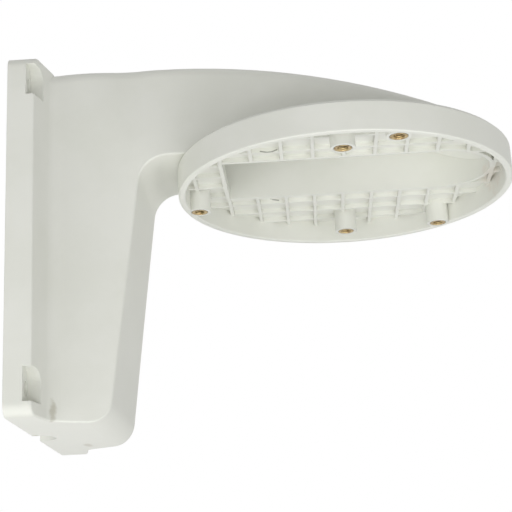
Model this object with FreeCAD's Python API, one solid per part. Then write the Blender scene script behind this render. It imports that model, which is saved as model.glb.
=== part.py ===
import FreeCAD, Part
import math
import os

# Camera wall bracket: one hollow moulding with a wall plate, a leg, an arm and a round mounting disc,
# and five brass threaded inserts. X = 0 is the wall, Y = 0 the plane of symmetry, and the origin is the
# middle of the four wall screws. Millimetres and degrees.

# Wall plate
PLATE_WIDTH = 96.0
PLATE_HEIGHT = 125.0
PLATE_EDGE_THICKNESS = 9.2
PLATE_FRONT_SLOPE = 12.0
PLATE_CORNER_RADIUS = 4.0
PLATE_EDGE_ROUNDING = 0.8

# Screw pockets in the corners of the plate
SCREW_SPACING_Y = 87.0
SCREW_SPACING_Z = 106.0
SCREW_HOLE_DIAMETER = 5.0
POCKET_WIDTH = 7.5
POCKET_HEIGHT = 11.4
POCKET_RISE = 0.9
POCKET_DEPTH = 2.8
POCKET_CORNER_RADIUS = 5.0

# Leg and arm
FLANK_FOOT_HALF_WIDTH = 33.4
FLANK_FOOT_RADIUS = 7.0
FLANK_REACH = 38.0
FLANK_BLEND_RADIUS = 22.0
ARM_HALF_WIDTH = 21.7
LEG_FRONT_BOTTOM = 30.5
LEG_FRONT_LEAN = 6.8
LEG_HEEL_RADIUS = 8.0
ARM_INNER_RADIUS = 10.5
SUMMIT_DISTANCE = 48.0
SUMMIT_RISE = 5.2
TONGUE_END_HEIGHT = 3.4
TONGUE_END_GAP = 4.3
ARM_TOP_ROUNDING = 4.0
LEG_EDGE_CHAMFER = 0.5

# Mounting disc
DISC_DISTANCE = 114.0
DISC_DIAMETER = 122.0
DISC_HEIGHT = 11.2
DISC_RIM_LEVEL = 22.0
DISC_TOP_CHAMFER = 1.0
RIM_WALL = 2.5
RIM_CHAMFER = 0.4
DISC_FLOOR_THICKNESS = 2.4

# Waffle of ribs under the disc floor
RIB_PITCH = 11.0
RIB_THICKNESS = 1.4
RIB_DEPTH = 1.7

# Slot from the disc up into the arm, as wide as the room in the arm
SLOT_SETBACK = 43.5
LIP_THICKNESS = 1.6

# Walls, pads and ribs of the hollow side
WALL = 3.0
SCREW_PAD_MARGIN = 2.8
BACK_RIB_THICKNESS = 2.0
BACK_RIB_PITCH = 17.5
BACK_RIB_LEVELS = 5
LEG_RIB_LEVELS = (-40.0, -15.0, 10.0)
LEG_RIB_SETBACK = 3.0
CABLE_NOTCH_RADIUS = 12.0
CABLE_NOTCH_DEPTH = 17.0
DRAIN_NOTCH_RADIUS = 6.0
DRAIN_NOTCH_DEPTH = 7.0

# Insert bosses and inserts
INSERT_DIAMETER = 6.3
INSERT_LENGTH = 6.0
INSERT_BORE = 3.3
INSERT_MOUTH_CHAMFER = 0.35
INSERT_SEAT_CLEARANCE = 0.05
INSERT_SEAT_RELIEF = 1.6
BOSS_DIAMETER = 8.6
OUTER_CIRCLE_RADIUS = 56.0
OUTER_CIRCLE_ANGLES = (48.0, 168.0, 288.0)
INNER_CIRCLE_RADIUS = 45.7
INNER_CIRCLE_ANGLES = (88.8, 268.8)

# Values worked out from the sizes above
HALF_WIDTH = PLATE_WIDTH / 2
HALF_HEIGHT = PLATE_HEIGHT / 2
FRONT_TANGENT = math.tan(math.radians(PLATE_FRONT_SLOPE))
LEAN_TANGENT = math.tan(math.radians(LEG_FRONT_LEAN))
FOOT_X = PLATE_EDGE_THICKNESS + FRONT_TANGENT * (HALF_WIDTH - FLANK_FOOT_HALF_WIDTH)
DISC_RADIUS = DISC_DIAMETER / 2
DISC_TOP = DISC_RIM_LEVEL + DISC_HEIGHT
DISC_FLOOR = DISC_TOP - DISC_FLOOR_THICKNESS
SLOT_START = DISC_DISTANCE - SLOT_SETBACK
SLOT_HALF_WIDTH = ARM_HALF_WIDTH - WALL
SUMMIT_LEVEL = HALF_HEIGHT + SUMMIT_RISE
RECESS_RADIUS = DISC_RADIUS - RIM_WALL
TONGUE_END = DISC_DISTANCE + DISC_RADIUS - TONGUE_END_GAP
NOSE_CENTRE = TONGUE_END - ARM_HALF_WIDTH
# the arm's underside steps down into the disc where the whole width of the arm is over it
ARM_STEP = DISC_DISTANCE - math.sqrt(RECESS_RADIUS**2 - ARM_HALF_WIDTH**2)
# length by which a cutting shape passes the face that it cuts through
OVERRUN = 10.0
# extent below which an edge counts as square to an axis
NO_EXTENT = 0.01
UP = FreeCAD.Vector(0, 0, 1)


def vec(x, y, z=0.0):
    return FreeCAD.Vector(x, y, z)


def line(start, end):
    return Part.LineSegment(start, end).toShape()


def box(x0, x1, y0, y1, z0, z1):
    return Part.makeBox(x1 - x0, y1 - y0, z1 - z0, vec(x0, y0, z0))


def pillar(x, y, radius, z0, z1):
    return Part.makeCylinder(radius, z1 - z0, vec(x, y, z0), UP)


def rounded_edges(points, radii):
    """Edges of an open outline through the points, with each corner between rounded by its radius."""
    edges = []
    start = points[0]
    for i in range(1, len(points) - 1):
        corner = points[i]
        radius = radii[i - 1]
        if radius == 0:
            edges.append(line(start, corner))
            start = corner
            continue
        before = (points[i - 1] - corner).normalize()
        after = (points[i + 1] - corner).normalize()
        half_angle = before.getAngle(after) / 2
        reach = radius / math.tan(half_angle)
        to_middle = (before + after).normalize() * (radius / math.sin(half_angle) - radius)
        edges.append(line(start, corner + before * reach))
        start = corner + after * reach
        edges.append(Part.Arc(corner + before * reach, corner + to_middle, start).toShape())
    edges.append(line(start, points[-1]))
    return edges


def pushed(edges, direction):
    """Solid made by filling a closed outline and pushing it along the direction."""
    return Part.Face(Part.Wire(edges)).extrude(direction)


def upright_prism(edges, z0, z1):
    solid = pushed(edges, vec(0, 0, z1 - z0))
    solid.translate(vec(0, 0, z0))
    return solid


def turned(points, x, y):
    """Solid turned about the upright axis at x, y from the (radius, level) points of a half section."""
    corners = [vec(x + radius, y, level) for radius, level in points]
    outline = Part.makePolygon(corners + corners[:1])
    return Part.Face(outline).revolve(vec(x, y), UP, 360)


def arm_plan(side_points, radii, half_width):
    """Closed outline from above: one side, the round nose of the tongue and the other side."""
    mirrored = [vec(point.x, -point.y) for point in reversed(side_points)]
    nose = Part.Arc(side_points[-1], vec(NOSE_CENTRE + half_width, 0), mirrored[0]).toShape()
    rear = line(mirrored[-1], side_points[0])
    return rounded_edges(side_points, radii) + [nose] + rounded_edges(mirrored, radii[::-1]) + [rear]


def leg_front(level):
    """Distance of the leaning front face of the leg from the wall at a level."""
    return LEG_FRONT_BOTTOM + LEAN_TANGENT * (level + HALF_HEIGHT)


def on_leg_front(point):
    return point.z < DISC_TOP and abs(point.x - leg_front(point.z)) < NO_EXTENT


def crest_level(x, inset):
    """Level of the top of the arm, or of the ceiling one wall below it, at a distance from the wall."""
    end, end_level = FOOT_X, HALF_HEIGHT
    if x > SUMMIT_DISTANCE:
        end, end_level = TONGUE_END, DISC_TOP + TONGUE_END_HEIGHT
    drop = SUMMIT_LEVEL - end_level
    radius = ((end - SUMMIT_DISTANCE) ** 2 + drop**2) / (2 * drop)
    return SUMMIT_LEVEL - radius + math.sqrt((radius - inset) ** 2 - (x - SUMMIT_DISTANCE) ** 2)


def crest_arcs(start, inset):
    """The two arcs along the top of the arm, from the end of the tongue back over the summit."""
    arcs = []
    for x0, x1 in ((TONGUE_END, SUMMIT_DISTANCE), (SUMMIT_DISTANCE, start)):
        points = [vec(x, 0, crest_level(x, inset)) for x in (x0, (x0 + x1) / 2, x1)]
        arcs.append(Part.Arc(*points).toShape())
    return arcs


def arm_side(inset, rear, crest_start, steps):
    """Closed outline from the side: bottom, heel, leaning front, inner corner, steps and crest."""
    bottom = -HALF_HEIGHT + inset
    elbow = DISC_TOP + inset
    start_level = crest_level(crest_start, inset)
    points = [
        vec(rear, 0, start_level),
        vec(rear, 0, bottom),
        vec(leg_front(bottom) - inset, 0, bottom),
        vec(leg_front(elbow) - inset, 0, elbow),
        vec(ARM_STEP, 0, elbow),
    ]
    points += [vec(x, 0, level) for x, level in steps]
    points.append(vec(TONGUE_END, 0, crest_level(TONGUE_END, inset)))
    radii = [0, LEG_HEEL_RADIUS - inset, ARM_INNER_RADIUS + inset] + [0] * (len(steps) + 1)
    outline = rounded_edges(points, radii) + crest_arcs(crest_start, inset)
    if rear < crest_start:
        outline.append(line(vec(crest_start, 0, start_level), points[0]))
    return outline


def seen_both_ways(side_edges, plan_edges):
    """Solid that has the one outline from the side and the other from above."""
    across = pushed(side_edges, vec(0, PLATE_WIDTH))
    across.translate(vec(0, -HALF_WIDTH))
    return across.common(upright_prism(plan_edges, -HALF_HEIGHT - OVERRUN, PLATE_HEIGHT))


def arm_solid():
    """Leg, arm and tongue before they are hollowed, with their long edges rounded."""
    # at its foot each flank sweeps out along the sloping front of the plate
    wing_x = FOOT_X - FRONT_TANGENT * FLANK_FOOT_RADIUS
    wing = FLANK_FOOT_HALF_WIDTH + FLANK_FOOT_RADIUS
    rear = PLATE_EDGE_THICKNESS / 2
    side_points = [
        vec(rear, -wing),
        vec(wing_x, -wing),
        vec(FOOT_X, -FLANK_FOOT_HALF_WIDTH),
        vec(FLANK_REACH, -ARM_HALF_WIDTH),
        vec(NOSE_CENTRE, -ARM_HALF_WIDTH),
    ]
    plan = arm_plan(side_points, [0, FLANK_FOOT_RADIUS, FLANK_BLEND_RADIUS], ARM_HALF_WIDTH)
    # the tongue is sunk halfway into the disc's floor
    low = (DISC_TOP + DISC_FLOOR) / 2
    side = arm_side(0, rear, rear, [(ARM_STEP, low), (TONGUE_END, low)])
    solid = seen_both_ways(side, plan).removeSplitter()
    along_flanks = [e for e in solid.Edges if e.BoundBox.YLength < ARM_HALF_WIDTH / 2]
    top_edges = [e for e in along_flanks if e.BoundBox.ZMin > DISC_TOP and e.BoundBox.XMin > FOOT_X]
    solid = solid.makeFillet(ARM_TOP_ROUNDING, [e for e in top_edges if e.BoundBox.XLength > NO_EXTENT])
    along_flanks = [e for e in solid.Edges if e.BoundBox.YLength < ARM_HALF_WIDTH / 2]
    front_edges = [e for e in along_flanks if on_leg_front(e.CenterOfMass)]
    return solid.makeChamfer(LEG_EDGE_CHAMFER, front_edges)


def plate_solid():
    """Wall plate before it is hollowed: a front that slopes out to the feet of the flanks."""
    corners = [
        vec(0, -HALF_WIDTH),
        vec(PLATE_EDGE_THICKNESS, -HALF_WIDTH),
        vec(FOOT_X, -FLANK_FOOT_HALF_WIDTH),
        vec(FOOT_X, FLANK_FOOT_HALF_WIDTH),
        vec(PLATE_EDGE_THICKNESS, HALF_WIDTH),
        vec(0, HALF_WIDTH),
        vec(0, -HALF_WIDTH),
    ]
    outline = Part.makePolygon(corners).Edges
    solid = upright_prism(outline, -HALF_HEIGHT, HALF_HEIGHT)
    along_x = [e for e in solid.Edges if max(e.BoundBox.YLength, e.BoundBox.ZLength) < NO_EXTENT]
    solid = solid.makeFillet(PLATE_CORNER_RADIUS, along_x)
    front = [e for e in solid.Edges if e.BoundBox.XMin > PLATE_EDGE_THICKNESS / 2]
    beside_flanks = [e for e in front if abs(e.CenterOfMass.y) > FLANK_FOOT_HALF_WIDTH + NO_EXTENT]
    return solid.makeFillet(PLATE_EDGE_ROUNDING, beside_flanks)


def disc_solid():
    """Mounting disc with its rim and floor, before the bosses and ribs."""
    section = [
        (0, DISC_TOP),
        (DISC_RADIUS - DISC_TOP_CHAMFER, DISC_TOP),
        (DISC_RADIUS, DISC_TOP - DISC_TOP_CHAMFER),
        (DISC_RADIUS, DISC_RIM_LEVEL + RIM_CHAMFER),
        (DISC_RADIUS - RIM_CHAMFER, DISC_RIM_LEVEL),
        (RECESS_RADIUS + RIM_CHAMFER, DISC_RIM_LEVEL),
        (RECESS_RADIUS, DISC_RIM_LEVEL + RIM_CHAMFER),
        (RECESS_RADIUS, DISC_FLOOR),
        (0, DISC_FLOOR),
    ]
    return turned(section, DISC_DISTANCE, 0)


def hollow():
    """Room inside the leg and the arm, open to the wall and through the slot to the disc."""
    foot = FLANK_FOOT_HALF_WIDTH - WALL
    side_points = [
        vec(-OVERRUN, -foot),
        vec(FOOT_X, -foot),
        vec(FLANK_REACH, -SLOT_HALF_WIDTH),
        vec(NOSE_CENTRE, -SLOT_HALF_WIDTH),
    ]
    plan = arm_plan(side_points, [FLANK_FOOT_RADIUS + WALL, FLANK_BLEND_RADIUS - WALL], SLOT_HALF_WIDTH)
    steps = [
        (ARM_STEP, DISC_TOP),
        (SLOT_START, DISC_TOP),
        (SLOT_START, DISC_RIM_LEVEL),
        (TONGUE_END, DISC_RIM_LEVEL),
    ]
    side = arm_side(WALL, -OVERRUN, FOOT_X, steps)
    ribs = []
    for middle in LEG_RIB_LEVELS:
        low = middle - BACK_RIB_THICKNESS / 2
        high = middle + BACK_RIB_THICKNESS / 2
        shelf = box(LEG_RIB_SETBACK, ARM_STEP, -HALF_WIDTH, HALF_WIDTH, low, high)
        ribs.append(shelf.cut(u_notch(CABLE_NOTCH_RADIUS, CABLE_NOTCH_DEPTH, low, high)))
    return seen_both_ways(side, plan).cut(ribs)


def lip_solid():
    """Raised lip round the slot, as deep as the ribs, before the slot is cut through it."""
    half = SLOT_HALF_WIDTH + LIP_THICKNESS
    corners = [
        vec(NOSE_CENTRE, half),
        vec(SLOT_START - LIP_THICKNESS, half),
        vec(SLOT_START - LIP_THICKNESS, -half),
        vec(NOSE_CENTRE, -half),
    ]
    nose = Part.Arc(corners[-1], vec(NOSE_CENTRE + half, 0), corners[0]).toShape()
    return upright_prism(Part.makePolygon(corners).Edges + [nose], DISC_FLOOR - RIB_DEPTH, DISC_FLOOR)


def side_recess(side):
    """Shallow room behind the plate between a flank and the side edge, around pads and ribs."""
    inner = FLANK_FOOT_HALF_WIDTH
    outer = HALF_WIDTH - WALL
    front_outer = PLATE_EDGE_THICKNESS + FRONT_TANGENT * WALL - WALL
    corners = [
        vec(-OVERRUN, side * inner),
        vec(FOOT_X - WALL, side * inner),
        vec(front_outer, side * outer),
        vec(-OVERRUN, side * outer),
        vec(-OVERRUN, side * inner),
    ]
    level = HALF_HEIGHT - WALL
    recess = upright_prism(Part.makePolygon(corners).Edges, -level, level)
    pad_edge = side * (HALF_WIDTH - POCKET_WIDTH - SCREW_PAD_MARGIN)
    pad_half = POCKET_HEIGHT / 2 + SCREW_PAD_MARGIN
    kept = []
    for screw_level in (-SCREW_SPACING_Z / 2, SCREW_SPACING_Z / 2):
        middle = screw_level + POCKET_RISE
        y0, y1 = sorted((pad_edge, side * HALF_WIDTH))
        kept.append(box(0, FOOT_X, y0, y1, middle - pad_half, middle + pad_half))
    for step in range(BACK_RIB_LEVELS):
        middle = (step - (BACK_RIB_LEVELS - 1) / 2) * BACK_RIB_PITCH
        half = BACK_RIB_THICKNESS / 2
        y0, y1 = sorted((0, side * HALF_WIDTH))
        kept.append(box(0, FOOT_X, y0, y1, middle - half, middle + half))
    return recess.cut(kept)


def u_notch(radius, depth, z0, z1):
    """U-shaped notch from the wall side, with a round end."""
    straight = depth - radius
    return box(-OVERRUN, straight, -radius, radius, z0, z1).fuse(pillar(straight, 0, radius, z0, z1))


def waffle():
    """Crossed ribs under the floor of the disc, inside the rim."""
    low = DISC_FLOOR - RIB_DEPTH
    high = (DISC_FLOOR + DISC_TOP) / 2
    half = RIB_THICKNESS / 2
    reach = int(RECESS_RADIUS / RIB_PITCH)
    ribs = []
    for step in range(-reach, reach + 1):
        x = DISC_DISTANCE + step * RIB_PITCH
        ribs.append(box(x - half, x + half, -RECESS_RADIUS, RECESS_RADIUS, low, high))
    x0 = DISC_DISTANCE - RECESS_RADIUS
    x1 = DISC_DISTANCE + RECESS_RADIUS
    for step in range(-reach, reach):
        y = (step + 1 / 2) * RIB_PITCH
        ribs.append(box(x0, x1, y - half, y + half, low, high))
    grid = ribs[0].fuse(ribs[1:])
    return grid.common(pillar(DISC_DISTANCE, 0, RECESS_RADIUS + RIM_WALL / 2, low, high))


def on_circle(radius, angles):
    """Places on a circle round the middle of the disc."""
    turns = [math.radians(angle) for angle in angles]
    return [(DISC_DISTANCE + radius * math.cos(turn), radius * math.sin(turn)) for turn in turns]


def insert_seat(x, y):
    """Blind seat for an insert, deeper than it to leave room for the end of the screw."""
    end = DISC_RIM_LEVEL + INSERT_LENGTH + INSERT_SEAT_RELIEF
    return pillar(x, y, INSERT_DIAMETER / 2 + INSERT_SEAT_CLEARANCE, DISC_RIM_LEVEL - OVERRUN, end)


def insert(x, y):
    """Threaded insert, flush with the rim, with a lead-in at the mouth of its bore."""
    low = DISC_RIM_LEVEL
    high = low + INSERT_LENGTH
    bore = INSERT_BORE / 2
    outer = INSERT_DIAMETER / 2
    section = [
        (bore, low + INSERT_MOUTH_CHAMFER),
        (bore + INSERT_MOUTH_CHAMFER, low),
        (outer, low),
        (outer, high),
        (bore, high),
    ]
    return turned(section, x, y)


def screw_pocket(side, screw_level):
    """Pocket for a screw head in the edge of the plate, rounded in its upper inner corner."""
    middle = screw_level + POCKET_RISE
    floor = PLATE_EDGE_THICKNESS - POCKET_DEPTH
    inner = side * (HALF_WIDTH - POCKET_WIDTH)
    outer = side * (HALF_WIDTH + OVERRUN)
    low = middle - POCKET_HEIGHT / 2
    high = middle + POCKET_HEIGHT / 2
    corners = [
        vec(floor, outer, low),
        vec(floor, inner, low),
        vec(floor, inner, high),
        vec(floor, outer, high),
    ]
    edges = rounded_edges(corners, [0, POCKET_CORNER_RADIUS]) + [line(corners[-1], corners[0])]
    return pushed(edges, vec(OVERRUN, 0))


os.makedirs("parts", exist_ok=True)
insert_places = on_circle(OUTER_CIRCLE_RADIUS, OUTER_CIRCLE_ANGLES)
insert_places += on_circle(INNER_CIRCLE_RADIUS, INNER_CIRCLE_ANGLES)

added = [arm_solid(), disc_solid(), waffle(), lip_solid()]
for x, y in insert_places:
    added.append(pillar(x, y, BOSS_DIAMETER / 2, DISC_RIM_LEVEL, DISC_FLOOR))

removed = [hollow(), side_recess(-1), side_recess(1)]
removed.append(u_notch(DRAIN_NOTCH_RADIUS, DRAIN_NOTCH_DEPTH, -HALF_HEIGHT - OVERRUN, -HALF_HEIGHT + WALL))
for side in (-1, 1):
    for level in (-SCREW_SPACING_Z / 2, SCREW_SPACING_Z / 2):
        removed.append(screw_pocket(side, level))
        start = vec(-OVERRUN, side * SCREW_SPACING_Y / 2, level)
        length = FOOT_X + 2 * OVERRUN
        removed.append(Part.makeCylinder(SCREW_HOLE_DIAMETER / 2, length, start, vec(1, 0)))
for x, y in insert_places:
    removed.append(insert_seat(x, y))

body = plate_solid().fuse(added).cut(removed).removeSplitter()
body.exportStep("parts/bracket_body.step")
inserts = Part.makeCompound([insert(x, y) for x, y in insert_places])
inserts.exportStep("parts/threaded_inserts.step")
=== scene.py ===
import math

import bmesh
import bpy
from mathutils import Matrix, Vector


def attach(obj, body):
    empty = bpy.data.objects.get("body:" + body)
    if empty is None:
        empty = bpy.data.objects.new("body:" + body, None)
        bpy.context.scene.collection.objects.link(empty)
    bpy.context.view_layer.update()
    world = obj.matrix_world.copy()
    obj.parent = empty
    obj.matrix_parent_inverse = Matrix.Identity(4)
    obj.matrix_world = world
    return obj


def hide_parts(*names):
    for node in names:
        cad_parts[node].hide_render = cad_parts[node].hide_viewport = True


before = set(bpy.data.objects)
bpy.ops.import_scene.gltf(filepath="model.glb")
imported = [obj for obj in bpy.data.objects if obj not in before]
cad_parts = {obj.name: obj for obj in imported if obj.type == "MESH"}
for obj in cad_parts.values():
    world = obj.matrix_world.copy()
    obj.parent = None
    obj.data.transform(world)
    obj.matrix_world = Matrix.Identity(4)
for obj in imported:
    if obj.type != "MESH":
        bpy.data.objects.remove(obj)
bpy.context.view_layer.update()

# Bracket body
# The wall plate, the hollow leg and arm and the ribbed disc are one moulding in off-white plastic.
# The tool gave it a fine satin grain, and years under an eave gave it grime, stains and two stuck hairs.
# Its corners and rib roots carry painted shade along with the grime, and the notch carries a patch of
# painted shade.

PALE_PATCH = (0.905, 0.908, 0.880)
DULL_PATCH = (0.890, 0.894, 0.862)
PATCH_SCALE = 38.0
PATCH_FADE = (0.34, 0.66)
GLOSSY_ROUGHNESS = 0.44
DULL_ROUGHNESS = 0.60
PLASTIC_SHINE = 0.35

GRAIN_SIZE = 0.0007
GRAIN_HEIGHT = 0.00003
EDGE_SOFTNESS = 0.0004

# Grime mixed with painted shade: darker in corners, at the roots of ribs and in bores.
GRIME_AND_SHADE_COLOUR = (0.760, 0.755, 0.690)
GRIME_AND_SHADE_REACH = 0.004
GRIME_AND_SHADE_AMOUNT = 0.18
SHELTER_FADE = (0.85, 0.25)
GRIME_AND_SHADE_SPOT_SCALE = 190.0
GRIME_AND_SHADE_SPOT_FADE = (0.36, 0.62)
THINNEST_GRIME_AND_SHADE = 0.35

BROWN_STAIN_AND_SHADE = (0.580, 0.550, 0.440)
RUST_TINT = (0.860, 0.810, 0.760)
STAIN_SPOT_SCALE = 260.0
STAIN_RAGGEDNESS = 2.0
STAIN_FADE = (0.2, 1.0)
RIM_STAIN_PLACE = (0.1690, 0.0080, 0.0280)
RIM_STAIN_SIZE = (0.0040, 0.0160, 0.0080)
RIM_STAIN_STRENGTH = 0.40
CREASE_STAIN_PLACE = (0.0130, -0.0338, -0.0588)
CREASE_STAIN_SIZE = (0.0016, 0.0022, 0.0044)
CREASE_STAIN_STRENGTH = 0.45
# A patch of painted shade by the notch at the foot of the plate.
NOTCH_SHADE_PLACE = (0.0010, -0.0060, -0.0620)
NOTCH_SHADE_SIZE = (0.0020, 0.0025, 0.0015)
NOTCH_SHADE_STRENGTH = 0.80
FOOT_STAIN_PLACE = (0.0145, 0.0215, -0.0625)
FOOT_STAIN_SIZE = (0.0020, 0.0048, 0.0020)
FOOT_STAIN_STRENGTH = 0.30

HAIR_COLOUR = (0.600, 0.600, 0.565)
HAIR_WIDTH = 0.0003
NEAR_HAIR = (
    (0.0848, -0.0282, 0.0296),
    (0.0871, -0.0281, 0.0291),
    (0.0888, -0.0282, 0.0292),
    (0.0906, -0.0282, 0.0299),
)
FAR_HAIR = (
    (0.0858, 0.0261, 0.0308),
    (0.0868, 0.0268, 0.0307),
    (0.0889, 0.0268, 0.0303),
)


def linear(colour):
    """A colour given as it looks on a screen, as the linear values that Blender works in."""
    return tuple(c / 12.92 if c <= 0.04045 else ((c + 0.055) / 1.055) ** 2.4 for c in colour) + (1.0,)


def add_node(tree, kind, inputs=None, **settings):
    """Adds a shader node. Its inputs, by name or number, are plain values or other nodes' outputs."""
    node = tree.nodes.new("ShaderNode" + kind)
    for name, value in settings.items():
        setattr(node, name, value)
    for socket, value in (inputs or {}).items():
        if isinstance(value, bpy.types.NodeSocket):
            tree.links.new(value, node.inputs[socket])
        else:
            node.inputs[socket].default_value = value
    return node


def calculate(tree, operation, *values):
    """The result of a calculation with numbers."""
    return add_node(tree, "Math", dict(enumerate(values)), operation=operation).outputs[0]


def calculate_vector(tree, operation, *values):
    """The result of a calculation with vectors: a number for a length or a dot product, else a vector."""
    node = add_node(tree, "VectorMath", dict(enumerate(values)), operation=operation)
    return node.outputs["Value" if operation in ("LENGTH", "DOT_PRODUCT") else "Vector"]


def noise(tree, place, scale, detail, roughness):
    """Cloudy noise from 0 to 1. The larger the scale, the finer it is."""
    inputs = {"Vector": place, "Scale": scale, "Detail": detail, "Roughness": roughness}
    return add_node(tree, "TexNoise", inputs).outputs["Fac"]


def fade(tree, value, start, end, first=0.0, last=1.0):
    """Goes softly from first to last as the value goes from start to end."""
    inputs = {"Value": value, "From Min": start, "From Max": end, "To Min": first, "To Max": last}
    return add_node(tree, "MapRange", inputs, interpolation_type="SMOOTHSTEP").outputs["Result"]


def lay_over(tree, under, over, amount):
    """One colour laid over another, where amount says how much of it covers."""
    return add_node(tree, "Mix", {0: amount, 6: under, 7: over}, data_type="RGBA").outputs[2]


def new_effect(name, inputs, outputs):
    """Starts a shared effect: a node group with named inputs and outputs."""
    group = bpy.data.node_groups.new(name, "ShaderNodeTree")
    for label, kind, value in inputs:
        group.interface.new_socket(label, in_out="INPUT", socket_type=kind).default_value = value
    for label, kind in outputs:
        group.interface.new_socket(label, in_out="OUTPUT", socket_type=kind)
    given = group.nodes.new("NodeGroupInput").outputs
    result = group.nodes.new("NodeGroupOutput").inputs
    place = add_node(group, "TexCoord").outputs["Object"]
    return group, given, result, place


def use_effect(tree, effect, values):
    """Places a shared effect in a material, with the material's own values for its inputs."""
    return add_node(tree, "Group", values, node_tree=effect).outputs


def new_material(name):
    material = bpy.data.materials.new(name)
    material.use_nodes = True
    return material, material.node_tree, material.node_tree.nodes["Principled BSDF"]


def uneven_finish_effect():
    """Slow patches of colour and gloss, as any moulding or turned piece has."""
    group, given, result, place = new_effect(
        "uneven_finish",
        [
            ("Patch Scale", "NodeSocketFloat", PATCH_SCALE),
            ("Glossy", "NodeSocketFloat", GLOSSY_ROUGHNESS),
            ("Dull", "NodeSocketFloat", DULL_ROUGHNESS),
        ],
        [("Patches", "NodeSocketFloat"), ("Roughness", "NodeSocketFloat")],
    )
    clouds = noise(group, place, given["Patch Scale"], detail=4.0, roughness=0.6)
    patches = fade(group, clouds, *PATCH_FADE)
    gloss_span = calculate(group, "SUBTRACT", given["Dull"], given["Glossy"])
    roughness = calculate(group, "MULTIPLY_ADD", patches, gloss_span, given["Glossy"])
    group.links.new(patches, result["Patches"])
    group.links.new(roughness, result["Roughness"])
    return group


def fine_grain_effect():
    """The tool's grain as fine bumps, and edges that are a little rounded off."""
    group, given, result, place = new_effect(
        "fine_grain",
        [
            ("Grain Size", "NodeSocketFloat", GRAIN_SIZE),
            ("Grain Height", "NodeSocketFloat", GRAIN_HEIGHT),
            ("Edge Softness", "NodeSocketFloat", EDGE_SOFTNESS),
        ],
        [("Normal", "NodeSocketVector")],
    )
    grain_scale = calculate(group, "DIVIDE", 1.0, given["Grain Size"])
    grain = noise(group, place, grain_scale, detail=3.0, roughness=0.55)
    soft_edge = add_node(group, "Bevel", {"Radius": given["Edge Softness"]}, samples=4).outputs["Normal"]
    bump = {"Strength": 1.0, "Distance": given["Grain Height"], "Height": grain, "Normal": soft_edge}
    group.links.new(add_node(group, "Bump", bump).outputs["Normal"], result["Normal"])
    return group


def settled_grime_and_shade_effect():
    """Grime and painted shade where air and light don't reach: corners, roots of ribs and bores, broken
    up as dust settles.
    """
    group, given, result, place = new_effect(
        "settled_grime_and_shade",
        [("Reach", "NodeSocketFloat", GRIME_AND_SHADE_REACH), ("Amount", "NodeSocketFloat", GRIME_AND_SHADE_AMOUNT)],
        [("Grime And Shade", "NodeSocketFloat")],
    )
    open_air = add_node(group, "AmbientOcclusion", {"Distance": given["Reach"]}, samples=8).outputs["AO"]
    sheltered = fade(group, open_air, *SHELTER_FADE)
    clouds = noise(group, place, GRIME_AND_SHADE_SPOT_SCALE, detail=5.0, roughness=0.65)
    spots = fade(group, clouds, *GRIME_AND_SHADE_SPOT_FADE, THINNEST_GRIME_AND_SHADE, 1.0)
    grime_and_shade = calculate(group, "MULTIPLY", sheltered, spots)
    grime_and_shade = calculate(group, "MULTIPLY", grime_and_shade, given["Amount"])
    group.links.new(grime_and_shade, result["Grime And Shade"])
    return group


def stain_and_shade_effect():
    """One mark, thickest at its place and broken up towards its edge. It paints a stain, and at the notch
    it paints shade.
    """
    group, given, result, place = new_effect(
        "stain_and_shade",
        [
            ("Place", "NodeSocketVector", CREASE_STAIN_PLACE),
            ("Size", "NodeSocketVector", CREASE_STAIN_SIZE),
        ],
        [("Stain And Shade", "NodeSocketFloat")],
    )
    away = calculate_vector(group, "SUBTRACT", place, given["Place"])
    away = calculate_vector(group, "DIVIDE", away, given["Size"])
    distance = calculate_vector(group, "LENGTH", away)
    clouds = noise(group, place, STAIN_SPOT_SCALE, detail=4.0, roughness=0.6)
    ragged = calculate(group, "SUBTRACT", clouds, 0.5)
    distance = calculate(group, "MULTIPLY_ADD", ragged, STAIN_RAGGEDNESS, distance)
    group.links.new(fade(group, distance, *STAIN_FADE, 1.0, 0.0), result["Stain And Shade"])
    return group


def hair_effect():
    """A thin dark hair that lies on the plastic between two points."""
    group, given, result, place = new_effect(
        "hair",
        [
            ("Start", "NodeSocketVector", NEAR_HAIR[0]),
            ("End", "NodeSocketVector", NEAR_HAIR[1]),
            ("Width", "NodeSocketFloat", HAIR_WIDTH),
        ],
        [("Hair", "NodeSocketFloat")],
    )
    run = calculate_vector(group, "SUBTRACT", given["End"], given["Start"])
    run_squared = calculate_vector(group, "DOT_PRODUCT", run, run)
    from_start = calculate_vector(group, "SUBTRACT", place, given["Start"])
    along = calculate_vector(group, "DOT_PRODUCT", from_start, run)
    along = calculate(group, "DIVIDE", along, run_squared)
    along = add_node(group, "Clamp", {"Value": along}).outputs[0]
    nearest = add_node(group, "VectorMath", {0: run, "Scale": along}, operation="SCALE").outputs["Vector"]
    distance = calculate_vector(group, "SUBTRACT", from_start, nearest)
    distance = calculate_vector(group, "LENGTH", distance)
    half_width = calculate(group, "MULTIPLY", given["Width"], 0.5)
    group.links.new(fade(group, distance, half_width, given["Width"], 1.0, 0.0), result["Hair"])
    return group


uneven_finish = uneven_finish_effect()
fine_grain = fine_grain_effect()
settled_grime_and_shade = settled_grime_and_shade_effect()
stain_and_shade = stain_and_shade_effect()
hair = hair_effect()


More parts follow.
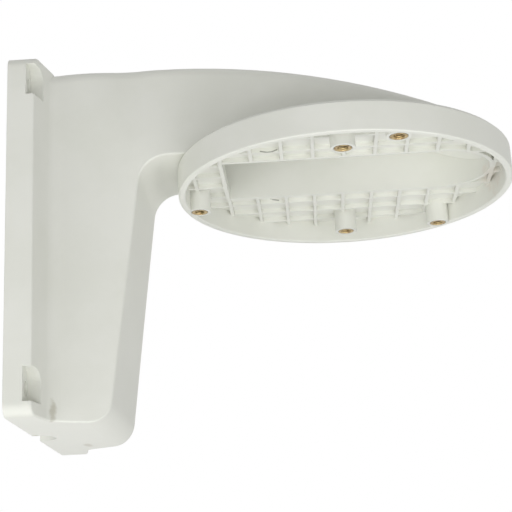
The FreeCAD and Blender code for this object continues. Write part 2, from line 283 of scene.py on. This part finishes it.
def plastic_material():
    material, tree, shader = new_material("off_white_plastic")
    finish = {"Patch Scale": PATCH_SCALE, "Glossy": GLOSSY_ROUGHNESS, "Dull": DULL_ROUGHNESS}
    finish = use_effect(tree, uneven_finish, finish)
    colour = lay_over(tree, linear(DULL_PATCH), linear(PALE_PATCH), finish["Patches"])

    # Grime with painted shade: the plastic is darker where its surroundings close in, in corners and at
    # rib roots.
    grime_and_shade = {"Reach": GRIME_AND_SHADE_REACH, "Amount": GRIME_AND_SHADE_AMOUNT}
    grime_and_shade = use_effect(tree, settled_grime_and_shade, grime_and_shade)["Grime And Shade"]
    colour = lay_over(tree, colour, linear(GRIME_AND_SHADE_COLOUR), grime_and_shade)

    # The notch mark among these is painted shade; the others are stains.
    stains_and_shade = (
        (RIM_STAIN_PLACE, RIM_STAIN_SIZE, RUST_TINT, RIM_STAIN_STRENGTH),
        (CREASE_STAIN_PLACE, CREASE_STAIN_SIZE, BROWN_STAIN_AND_SHADE, CREASE_STAIN_STRENGTH),
        (NOTCH_SHADE_PLACE, NOTCH_SHADE_SIZE, BROWN_STAIN_AND_SHADE, NOTCH_SHADE_STRENGTH),
        (FOOT_STAIN_PLACE, FOOT_STAIN_SIZE, BROWN_STAIN_AND_SHADE, FOOT_STAIN_STRENGTH),
    )
    for place, size, mark_colour, strength in stains_and_shade:
        mask = use_effect(tree, stain_and_shade, {"Place": place, "Size": size})["Stain And Shade"]
        amount = calculate(tree, "MULTIPLY", mask, strength)
        colour = lay_over(tree, colour, linear(mark_colour), amount)

    for points in (NEAR_HAIR, FAR_HAIR):
        for start, end in zip(points, points[1:]):
            mask = use_effect(tree, hair, {"Start": start, "End": end, "Width": HAIR_WIDTH})["Hair"]
            colour = lay_over(tree, colour, linear(HAIR_COLOUR), mask)

    grain = {"Grain Size": GRAIN_SIZE, "Grain Height": GRAIN_HEIGHT, "Edge Softness": EDGE_SOFTNESS}
    grain = use_effect(tree, fine_grain, grain)["Normal"]
    tree.links.new(colour, shader.inputs["Base Color"])
    tree.links.new(finish["Roughness"], shader.inputs["Roughness"])
    tree.links.new(grain, shader.inputs["Normal"])
    shader.inputs["Specular IOR Level"].default_value = PLASTIC_SHINE
    return material


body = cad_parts["bracket_body"]
body.material_slots[0].material = plastic_material()

# Brass inserts
# Five turned brass inserts, pressed hot into the bosses of the disc with their mouths flush with them.
# Each has an M4 thread inside and two bands of slanting knurl outside, and has dulled with age. Their
# bores are darkened with painted shade.

BRASS_COLOUR = (0.80, 0.72, 0.54)
TARNISHED_BRASS = (0.64, 0.54, 0.37)
BRASS_PATCH_SCALE = 900.0
BRIGHT_ROUGHNESS = 0.24
TARNISHED_ROUGHNESS = 0.42
# Painted shade that darkens the inside of the threaded bore.
BORE_SHADE = (0.15, 0.11, 0.06)
BORE_SHADE_REACH = 0.0030
BORE_SHADE_AMOUNT = 1.5
TURNING_MARK_SIZE = 0.00025
TURNING_MARK_HEIGHT = 0.000006
BRASS_EDGE_SOFTNESS = 0.00006

THREAD_MINOR_RADIUS = 0.00164
THREAD_MAJOR_RADIUS = 0.00200
THREAD_PITCH = 0.0007
THREAD_ROWS_PER_TURN = 6
THREAD_FLANK_SLOPE = 1.3
THREAD_CREST_FLAT = 0.15
MOUTH_RADIUS = 0.00215
KNURL_TEETH = 24
COLUMNS_PER_TOOTH = 3
COLUMNS = KNURL_TEETH * COLUMNS_PER_TOOTH
KNURL_DEPTH = 0.00018
KNURL_SLANT = 0.18
KNURL_FLANK_SLOPE = 3
KNURL_BAND_SHARE = 0.36
KNURL_STEPS = 4
END_CHAMFER = 0.00015
GROOVE_DEPTH = 0.0004
WELD_DISTANCE = 0.000002
SHARP_EDGE = math.radians(40)


def insert_boxes():
    """The lowest and highest corner of each insert in the frame."""
    mesh = bmesh.new()
    mesh.from_mesh(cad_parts["threaded_inserts"].data)
    bmesh.ops.remove_doubles(mesh, verts=mesh.verts, dist=WELD_DISTANCE)
    unseen = set(mesh.verts)
    boxes = []
    while unseen:
        reached = [unseen.pop()]
        for vertex in reached:
            for edge in vertex.link_edges:
                other = edge.other_vert(vertex)
                if other in unseen:
                    unseen.remove(other)
                    reached.append(other)
        low = Vector([min(vertex.co[axis] for vertex in reached) for axis in range(3)])
        high = Vector([max(vertex.co[axis] for vertex in reached) for axis in range(3)])
        boxes.append((low, high))
    mesh.free()
    return sorted(boxes, key=lambda box: tuple(box[0]))


def thread_radius(height, turn):
    """Radius of the threaded bore at a height over the mouth, with the chamfer that opens the mouth."""
    phase = (height / THREAD_PITCH - turn) % 1.0
    flank = THREAD_FLANK_SLOPE * (1 - abs(2 * phase - 1)) - THREAD_CREST_FLAT
    depth = THREAD_MAJOR_RADIUS - THREAD_MINOR_RADIUS
    return max(THREAD_MINOR_RADIUS + depth * min(1.0, max(0.0, flank)), MOUTH_RADIUS - height)


def bore_rings(length):
    """Rings of (radius, height) that follow the thread from the mouth to the far end."""
    rings = []
    rows = math.ceil((length / THREAD_PITCH + 1) * THREAD_ROWS_PER_TURN)
    for row in range(rows + 1):
        ring = []
        for column in range(COLUMNS + 1):
            turn = column / COLUMNS
            height = THREAD_PITCH * (row / THREAD_ROWS_PER_TURN - 1 + turn)
            height = min(max(height, 0.0), length)
            ring.append((thread_radius(height, turn), height))
        rings.append(ring)
    return rings


def outside_rings(radius, length):
    """Rings of (radius, height) down the outside: far knurl band, groove and near knurl band."""
    band = length * KNURL_BAND_SHARE
    step = band / KNURL_STEPS
    far_band_top = length - END_CHAMFER
    near_band_top = END_CHAMFER + band
    rows = [(END_CHAMFER, length, 0)]
    rows += [(0, far_band_top - step * n, 1) for n in range(KNURL_STEPS + 1)]
    rows += [(GROOVE_DEPTH, far_band_top - band - END_CHAMFER, 0)]
    rows += [(GROOVE_DEPTH, near_band_top + END_CHAMFER, 0)]
    rows += [(0, near_band_top - step * n, -1) for n in range(KNURL_STEPS + 1)]
    rows += [(END_CHAMFER, 0, 0)]
    rings = []
    for inset, height, slant in rows:
        ring = []
        for column in range(COLUMNS + 1):
            tooth = column / COLUMNS_PER_TOOTH + slant * height / step * KNURL_SLANT
            notch = min(1.0, KNURL_FLANK_SLOPE * abs(tooth % 1.0 - 0.5)) if slant else 0
            ring.append((radius - inset - KNURL_DEPTH * notch, height))
        rings.append(ring)
    return rings


def add_insert(mesh, low, high):
    """Adds one insert to the mesh, in the place of the plain one whose box is given."""
    radius = (high.x - low.x) / 2
    length = high.z - low.z
    centre = (low + high) / 2
    rings = bore_rings(length) + outside_rings(radius, length)
    rings.append(rings[0])
    lines = []
    for ring in rings:
        line = []
        for column, (ring_radius, height) in enumerate(ring):
            angle = 2 * math.pi * column / COLUMNS
            x = centre.x + ring_radius * math.cos(angle)
            y = centre.y + ring_radius * math.sin(angle)
            line.append(mesh.verts.new((x, y, low.z + height)))
        lines.append(line)
    for line, next_line in zip(lines, lines[1:]):
        for column in range(COLUMNS):
            mesh.faces.new((line[column], next_line[column], next_line[column + 1], line[column + 1]))


def brass_material():
    material, tree, shader = new_material("dulled_brass")
    finish = {"Patch Scale": BRASS_PATCH_SCALE, "Glossy": BRIGHT_ROUGHNESS, "Dull": TARNISHED_ROUGHNESS}
    finish = use_effect(tree, uneven_finish, finish)
    colour = lay_over(tree, linear(TARNISHED_BRASS), linear(BRASS_COLOUR), finish["Patches"])

    # Painted shade darkens the bore inwards from the mouth.
    bore_shade = {"Reach": BORE_SHADE_REACH, "Amount": BORE_SHADE_AMOUNT}
    bore_shade = use_effect(tree, settled_grime_and_shade, bore_shade)["Grime And Shade"]
    colour = lay_over(tree, colour, linear(BORE_SHADE), bore_shade)

    turning_marks = {
        "Grain Size": TURNING_MARK_SIZE,
        "Grain Height": TURNING_MARK_HEIGHT,
        "Edge Softness": BRASS_EDGE_SOFTNESS,
    }
    turning_marks = use_effect(tree, fine_grain, turning_marks)["Normal"]
    tree.links.new(colour, shader.inputs["Base Color"])
    tree.links.new(finish["Roughness"], shader.inputs["Roughness"])
    tree.links.new(turning_marks, shader.inputs["Normal"])
    shader.inputs["Metallic"].default_value = 1.0
    return material


def brass_inserts():
    mesh = bmesh.new()
    for low, high in insert_boxes():
        add_insert(mesh, low, high)
    bmesh.ops.remove_doubles(mesh, verts=mesh.verts, dist=WELD_DISTANCE)
    bmesh.ops.recalc_face_normals(mesh, faces=mesh.faces)
    data = bpy.data.meshes.new("brass_inserts")
    mesh.to_mesh(data)
    mesh.free()
    data.shade_smooth()
    data.set_sharp_from_angle(angle=SHARP_EDGE)
    data.materials.append(brass_material())
    inserts = bpy.data.objects.new("brass_inserts", data)
    bpy.context.scene.collection.objects.link(inserts)
    return inserts


inserts = brass_inserts()
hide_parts("threaded_inserts")
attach(inserts, "root")

# Studio
# A pale floor well below the bracket and a white surround. Seven soft lamps stand all round the bracket,
# most of them low, because the disc is seen from below.

FLOOR_LEVEL = -1.2
FLOOR_SIZE = 12.0
FLOOR_COLOUR = (0.93, 0.93, 0.93)
FLOOR_ROUGHNESS = 0.9
FLOOR_WHITENESS = 0.75
PLAIN_WHITE = (1.0, 1.0, 1.0, 1.0)
SURROUND_WHITENESS = 1.0
SURROUND_COLOUR = (1.0, 1.0, 0.99, 1.0)
SURROUND_STRENGTH = 0.35
LAMP_SIZE = 0.5
OBJECT_MIDDLE = (0.08, 0.0, 0.0)


def show_white(tree, lit, white, whiteness, output):
    """Mirrors and glass see the white shader, the camera a share of it, and all else sees the lit one."""
    rays = add_node(tree, "LightPath").outputs
    seen = calculate(tree, "MULTIPLY", rays["Is Camera Ray"], whiteness)
    seen = calculate(tree, "MAXIMUM", seen, rays["Is Glossy Ray"])
    seen = calculate(tree, "MAXIMUM", seen, rays["Is Transmission Ray"])
    both = add_node(tree, "MixShader", {0: seen, 1: lit.outputs[0], 2: white.outputs[0]})
    tree.links.new(both.outputs[0], tree.nodes[output].inputs["Surface"])


def studio_surround():
    world = bpy.data.worlds.new("studio")
    world.use_nodes = True
    tree = world.node_tree
    white = tree.nodes["Background"]
    white.inputs["Color"].default_value = PLAIN_WHITE
    white.inputs["Strength"].default_value = 1.0
    light = add_node(tree, "Background", {"Color": SURROUND_COLOUR, "Strength": SURROUND_STRENGTH})
    show_white(tree, light, white, SURROUND_WHITENESS, "World Output")
    bpy.context.scene.world = world


def studio_floor():
    half = FLOOR_SIZE / 2
    corners = [(-half, -half, 0), (half, -half, 0), (half, half, 0), (-half, half, 0)]
    data = bpy.data.meshes.new("floor")
    data.from_pydata(corners, [], [(0, 1, 2, 3)])
    material, tree, shader = new_material("pale_floor")
    material.cycles.emission_sampling = "NONE"
    shader.inputs["Base Color"].default_value = linear(FLOOR_COLOUR)
    shader.inputs["Roughness"].default_value = FLOOR_ROUGHNESS
    white = add_node(tree, "Emission", {"Color": linear(FLOOR_COLOUR), "Strength": 1.0})
    show_white(tree, shader, white, FLOOR_WHITENESS, "Material Output")
    data.materials.append(material)
    floor = bpy.data.objects.new("floor", data)
    floor.location.z = FLOOR_LEVEL
    bpy.context.scene.collection.objects.link(floor)


def soft_lamp(name, place, power):
    """A square soft lamp that points at the middle of the object and isn't seen itself."""
    lamp = bpy.data.lights.new(name, "AREA")
    lamp.shape = "SQUARE"
    lamp.size = LAMP_SIZE
    lamp.energy = power
    holder = bpy.data.objects.new(name, lamp)
    holder.visible_camera = False
    holder.location = place
    holder.rotation_euler = (Vector(OBJECT_MIDDLE) - Vector(place)).to_track_quat("-Z", "Y").to_euler()
    bpy.context.scene.collection.objects.link(holder)


studio_surround()
studio_floor()
soft_lamp("low_lamp", (0.08, -0.25, -0.60), 1.0)
soft_lamp("low_front_lamp", (0.08, -0.85, -0.40), 1.2)
soft_lamp("low_left_lamp", (-0.50, -0.60, -0.40), 2.3)
soft_lamp("low_right_lamp", (0.65, -0.50, -0.45), 2.5)
soft_lamp("top_lamp", (0.08, -0.05, 0.90), 1.2)
soft_lamp("wall_side_lamp", (-0.70, 0.60, 0.35), 3.0)
soft_lamp("back_lamp", (-0.35, 0.90, 0.10), 2.2)

# Camera
# It stands a little below the bracket and to the right of its middle, and looks up at the disc.
# It is hardly turned, and rolled a little, as the photograph is.

CAMERA_PLACE = (0.10095, -0.43813, -0.13152)
CAMERA_TURN = math.radians(2.69)
CAMERA_RISE = math.radians(16.70)
CAMERA_ROLL = math.radians(-2.51)
CAMERA_LENS = 88.385
NEAREST_SEEN = 0.01

forward = Vector((
    -math.sin(CAMERA_TURN) * math.cos(CAMERA_RISE),
    math.cos(CAMERA_TURN) * math.cos(CAMERA_RISE),
    math.sin(CAMERA_RISE),
))
level_right = Vector((math.cos(CAMERA_TURN), math.sin(CAMERA_TURN), 0))
level_up = level_right.cross(forward)
right = level_right * math.cos(CAMERA_ROLL) + level_up * math.sin(CAMERA_ROLL)
up = level_up * math.cos(CAMERA_ROLL) - level_right * math.sin(CAMERA_ROLL)
turned = Matrix((right, up, -forward)).transposed().to_4x4()
lens = bpy.data.cameras.new("camera")
lens.lens = CAMERA_LENS
lens.clip_start = NEAREST_SEEN
camera = bpy.data.objects.new("camera", lens)
camera.matrix_world = Matrix.Translation(CAMERA_PLACE) @ turned
bpy.context.scene.collection.objects.link(camera)
bpy.context.scene.camera = camera
bpy.context.scene.view_settings.view_transform = "Standard"
